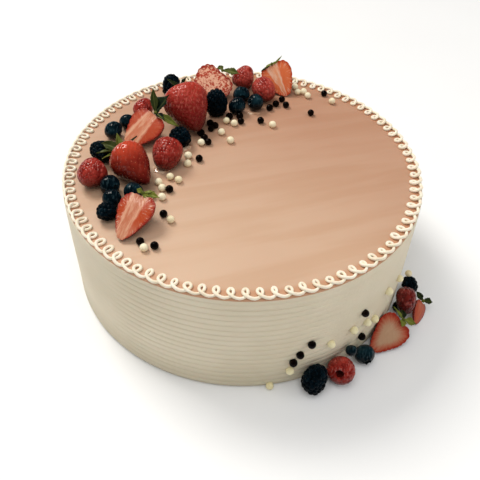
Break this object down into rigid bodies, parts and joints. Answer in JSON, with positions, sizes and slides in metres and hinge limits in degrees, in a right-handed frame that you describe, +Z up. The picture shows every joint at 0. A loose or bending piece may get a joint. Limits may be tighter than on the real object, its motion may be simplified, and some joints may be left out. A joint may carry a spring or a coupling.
{
  "type": "berry cake",
  "caption": "Round cream cake with a combed side, thin pink glaze, looped piped border, whole and halved berries and small crisp pearls.",
  "frame": {"origin": "centre of the cake's flat round base", "axes": "+Z is up, +Y points away from the viewer of the picture, +X is to the right"},
  "size_m": [0.2647, 0.2545, 0.1223],
  "materials": {
    "cream": "soft matte cream with fine comb lines",
    "glaze": "thin satin glaze with soft spatula streaks",
    "ivory_icing": "smooth piped icing",
    "strawberry_skin": "glossy red skin with small seeds",
    "cut_strawberry": "moist cut flesh, pale in the middle",
    "raspberry": "soft satin drupelets",
    "bramble": "glossy dark drupelets",
    "blueberry": "dark skin with a faint bloom",
    "leaf": "thin green sepals",
    "white_pearl": "smooth sugar shell",
    "dark_pearl": "smooth dark chocolate shell"
  },
  "bodies": {
    "root": {"cake": "cream", "glaze": "glaze", "piped_border": "ivory_icing", "strawberry_1": "strawberry_skin", "strawberry_2": "strawberry_skin", "half_strawberry_1": "cut_strawberry", "half_strawberry_2": "cut_strawberry", "half_strawberry_3": "cut_strawberry", "half_strawberry_4": "cut_strawberry", "half_strawberry_5": "cut_strawberry", "half_strawberry_6": "cut_strawberry", "raspberry_1": "raspberry", "raspberry_2": "raspberry", "raspberry_3": "raspberry", "raspberry_4": "raspberry", "raspberry_5": "raspberry", "raspberry_6": "raspberry", "raspberry_7": "raspberry", "bramble_1": "bramble", "bramble_2": "bramble", "bramble_3": "bramble", "bramble_4": "bramble", "bramble_5": "bramble", "bramble_6": "bramble", "bramble_7": "bramble", "bramble_8": "bramble", "blueberry_1": "blueberry", "blueberry_2": "blueberry", "blueberry_3": "blueberry", "blueberry_4": "blueberry", "blueberry_5": "blueberry", "blueberry_6": "blueberry", "blueberry_7": "blueberry", "blueberry_8": "blueberry", "blueberry_9": "blueberry", "blueberry_10": "blueberry", "calyx_of_strawberry_1": "leaf", "calyx_of_strawberry_2": "leaf", "calyx_of_half_strawberry_1": "leaf", "calyx_of_half_strawberry_2": "leaf", "calyx_of_half_strawberry_3": "leaf", "calyx_of_half_strawberry_4": "leaf", "calyx_of_half_strawberry_5": "leaf", "calyx_of_half_strawberry_6": "leaf"}
  },
  "joints": []
}
